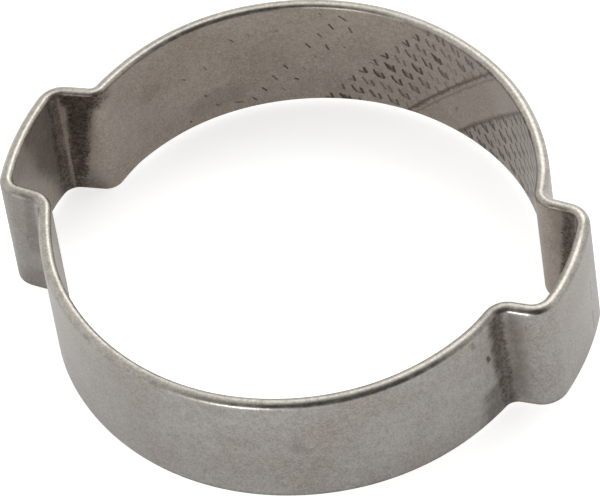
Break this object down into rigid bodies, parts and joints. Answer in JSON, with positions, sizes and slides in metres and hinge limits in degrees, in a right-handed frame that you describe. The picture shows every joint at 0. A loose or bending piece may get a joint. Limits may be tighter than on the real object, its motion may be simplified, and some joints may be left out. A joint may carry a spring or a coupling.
{
  "type": "ear hose clamp",
  "caption": "Closed stainless steel band with raised ears on opposite sides, squeezed with pincers to tighten it round a hose on its fitting.",
  "frame": {"origin": "on the hose axis, at the middle of the band's width", "axes": "+Z along the hose axis, +X through the ears"},
  "size_m": [0.0344, 0.0294, 0.009],
  "materials": {
    "stainless_steel": "satin tumbled, brighter on the rims, brown staining in the ear bends and tooling marks inside"
  },
  "bodies": {
    "root": {"clamp_ring": "stainless_steel"}
  },
  "joints": []
}
